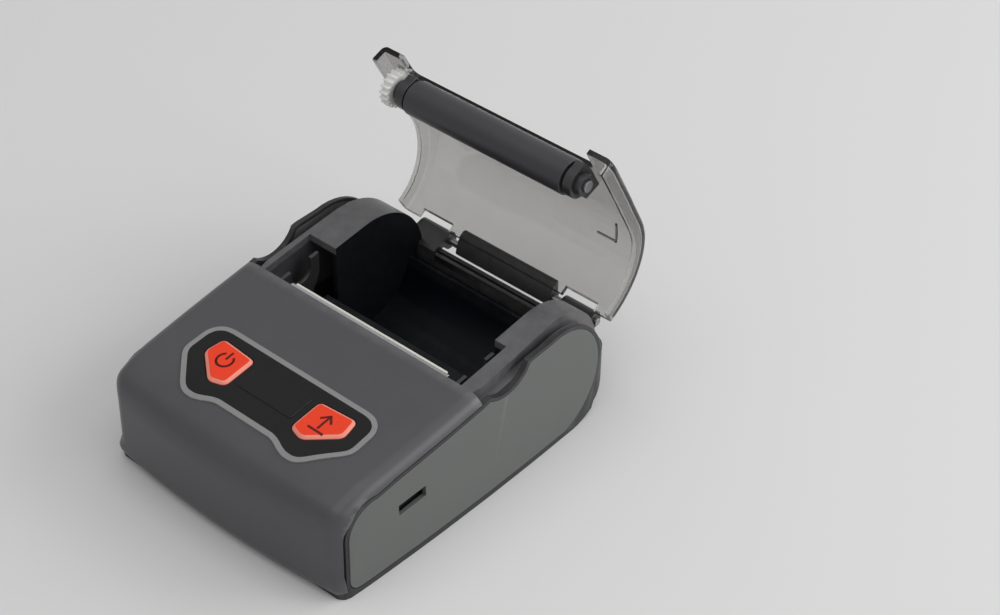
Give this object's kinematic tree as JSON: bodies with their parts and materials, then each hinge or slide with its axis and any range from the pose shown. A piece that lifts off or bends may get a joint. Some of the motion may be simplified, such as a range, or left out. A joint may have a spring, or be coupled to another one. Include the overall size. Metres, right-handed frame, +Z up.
{
  "type": "receipt printer",
  "caption": "Pocket thermal receipt printer with a hinged smoke-clear paper lid, rubber platen, two keys and a charcoal casing with a rounded tail.",
  "frame": {"origin": "middle of the flat underside of the casing, on the surface it rests on", "axes": "+Z up, +Y to the lid hinge at the rear, +X to the side with the USB inlet"},
  "size_m": [0.088, 0.1263, 0.0821],
  "materials": {
    "cover_plastic": "fine-textured charcoal",
    "panel_plastic": "fine-textured grey",
    "bay_plastic": "satin black",
    "shell_plastic": "fine-textured dark charcoal",
    "lid_clear": "smoke-tinted clear, gloss",
    "label_film": "black film with a light grey edge",
    "window_gloss": "high gloss black",
    "key_plastic": "satin orange-red",
    "light_diffuser": "milky",
    "circuit_board": "solder mask",
    "chip_black": "moulded",
    "coated_steel": "black-coated sheet",
    "steel": "rolled",
    "nickel": "bright plated",
    "alloy": "milled",
    "brass": "turned",
    "gear_white": "natural acetal",
    "bracket_black": "satin",
    "roller_rubber": "ground",
    "head_ceramic": "glazed",
    "film_amber": "polyimide",
    "battery_wrap": "shrink wrap",
    "screw_dark": "black zinc"
  },
  "bodies": {
    "casing": {"front_cover": "cover_plastic", "base_shell": "shell_plastic", "side_panel_left": "panel_plastic", "side_panel_right": "panel_plastic", "paper_bay": "bay_plastic", "hinge_bracket": "bracket_black", "hinge_pin": "steel", "label_overlay": "label_film", "display_window": "window_gloss", "status_lights": "light_diffuser", "key_board": "circuit_board", "tact_switches": "chip_black", "main_board": "circuit_board", "board_chips": "chip_black", "usb_socket": "nickel", "radio_module": "nickel", "buzzer": "chip_black", "battery_pack": "battery_wrap", "battery_door": "shell_plastic", "battery_contacts": "brass", "frame_plate_left": "coated_steel", "frame_plate_right": "coated_steel", "frame_tie": "coated_steel", "head_springs": "steel", "tear_bar": "steel", "motor": "steel", "gear_axles": "steel", "paper_sensor": "chip_black", "case_screws": "screw_dark", "frame_screws": "steel"},
    "lid": {"lid_shell": "lid_clear", "lid_lip": "lid_clear", "platen_bracket_left": "bracket_black", "platen_bracket_right": "bracket_black", "platen_bushes": "brass"},
    "platen": {"platen_shaft": "steel", "platen_rubber": "roller_rubber", "platen_gear": "gear_white"},
    "power_key": {"power_button": "key_plastic"},
    "feed_key": {"feed_button": "key_plastic"},
    "head": {"head_bracket": "alloy", "thermal_head": "head_ceramic", "head_cable": "film_amber"},
    "pinion": {"motor_pinion": "brass"},
    "idler": {"idler_gear": "gear_white"},
    "drive": {"drive_gear": "gear_white"}
  },
  "joints": [
    {"name": "lid_hinge", "type": "hinge", "parent": "casing", "child": "lid", "pos_m": [0, 0.05664, 0.0202], "axis": [-1, 0, 0], "range_deg": [-68, 22]},
    {"name": "platen_spin", "type": "hinge", "parent": "lid", "child": "platen", "pos_m": [0, 0.04915, 0.07095], "axis": [1, 0, 0], "continuous": true},
    {"name": "power_press", "type": "slide", "parent": "casing", "child": "power_key", "axis": [0, 0.1167, -0.9932], "range_m": [0, 0.0005], "stiffness_N_per_m": 800, "springref_m": -0.001},
    {"name": "feed_press", "type": "slide", "parent": "casing", "child": "feed_key", "axis": [0, 0.1167, -0.9932], "range_m": [0, 0.0005], "stiffness_N_per_m": 800, "springref_m": -0.001},
    {"name": "head_rock", "type": "hinge", "parent": "casing", "child": "head", "pos_m": [0, -0.00028, 0.0141], "axis": [1, 0, 0], "range_deg": [0, 1.4], "stiffness_Nm_per_rad": 1, "springref_deg": -2.86},
    {"name": "idler_spin", "type": "hinge", "parent": "casing", "child": "idler", "pos_m": [-0.03497, -0.01184, 0.01422], "axis": [1, 0, 0], "continuous": true},
    {"name": "drive_spin", "type": "hinge", "parent": "casing", "child": "drive", "pos_m": [-0.03497, 0.00228, 0.01993], "axis": [1, 0, 0], "continuous": true},
    {"name": "pinion_spin", "type": "hinge", "parent": "casing", "child": "pinion", "pos_m": [-0.03497, -0.0219, 0.01934], "axis": [1, 0, 0], "continuous": true}
  ],
  "couplings": [
    {"joint": "drive_spin", "follows": "idler_spin", "ratio": -1.25},
    {"joint": "pinion_spin", "follows": "idler_spin", "ratio": -3}
  ]
}
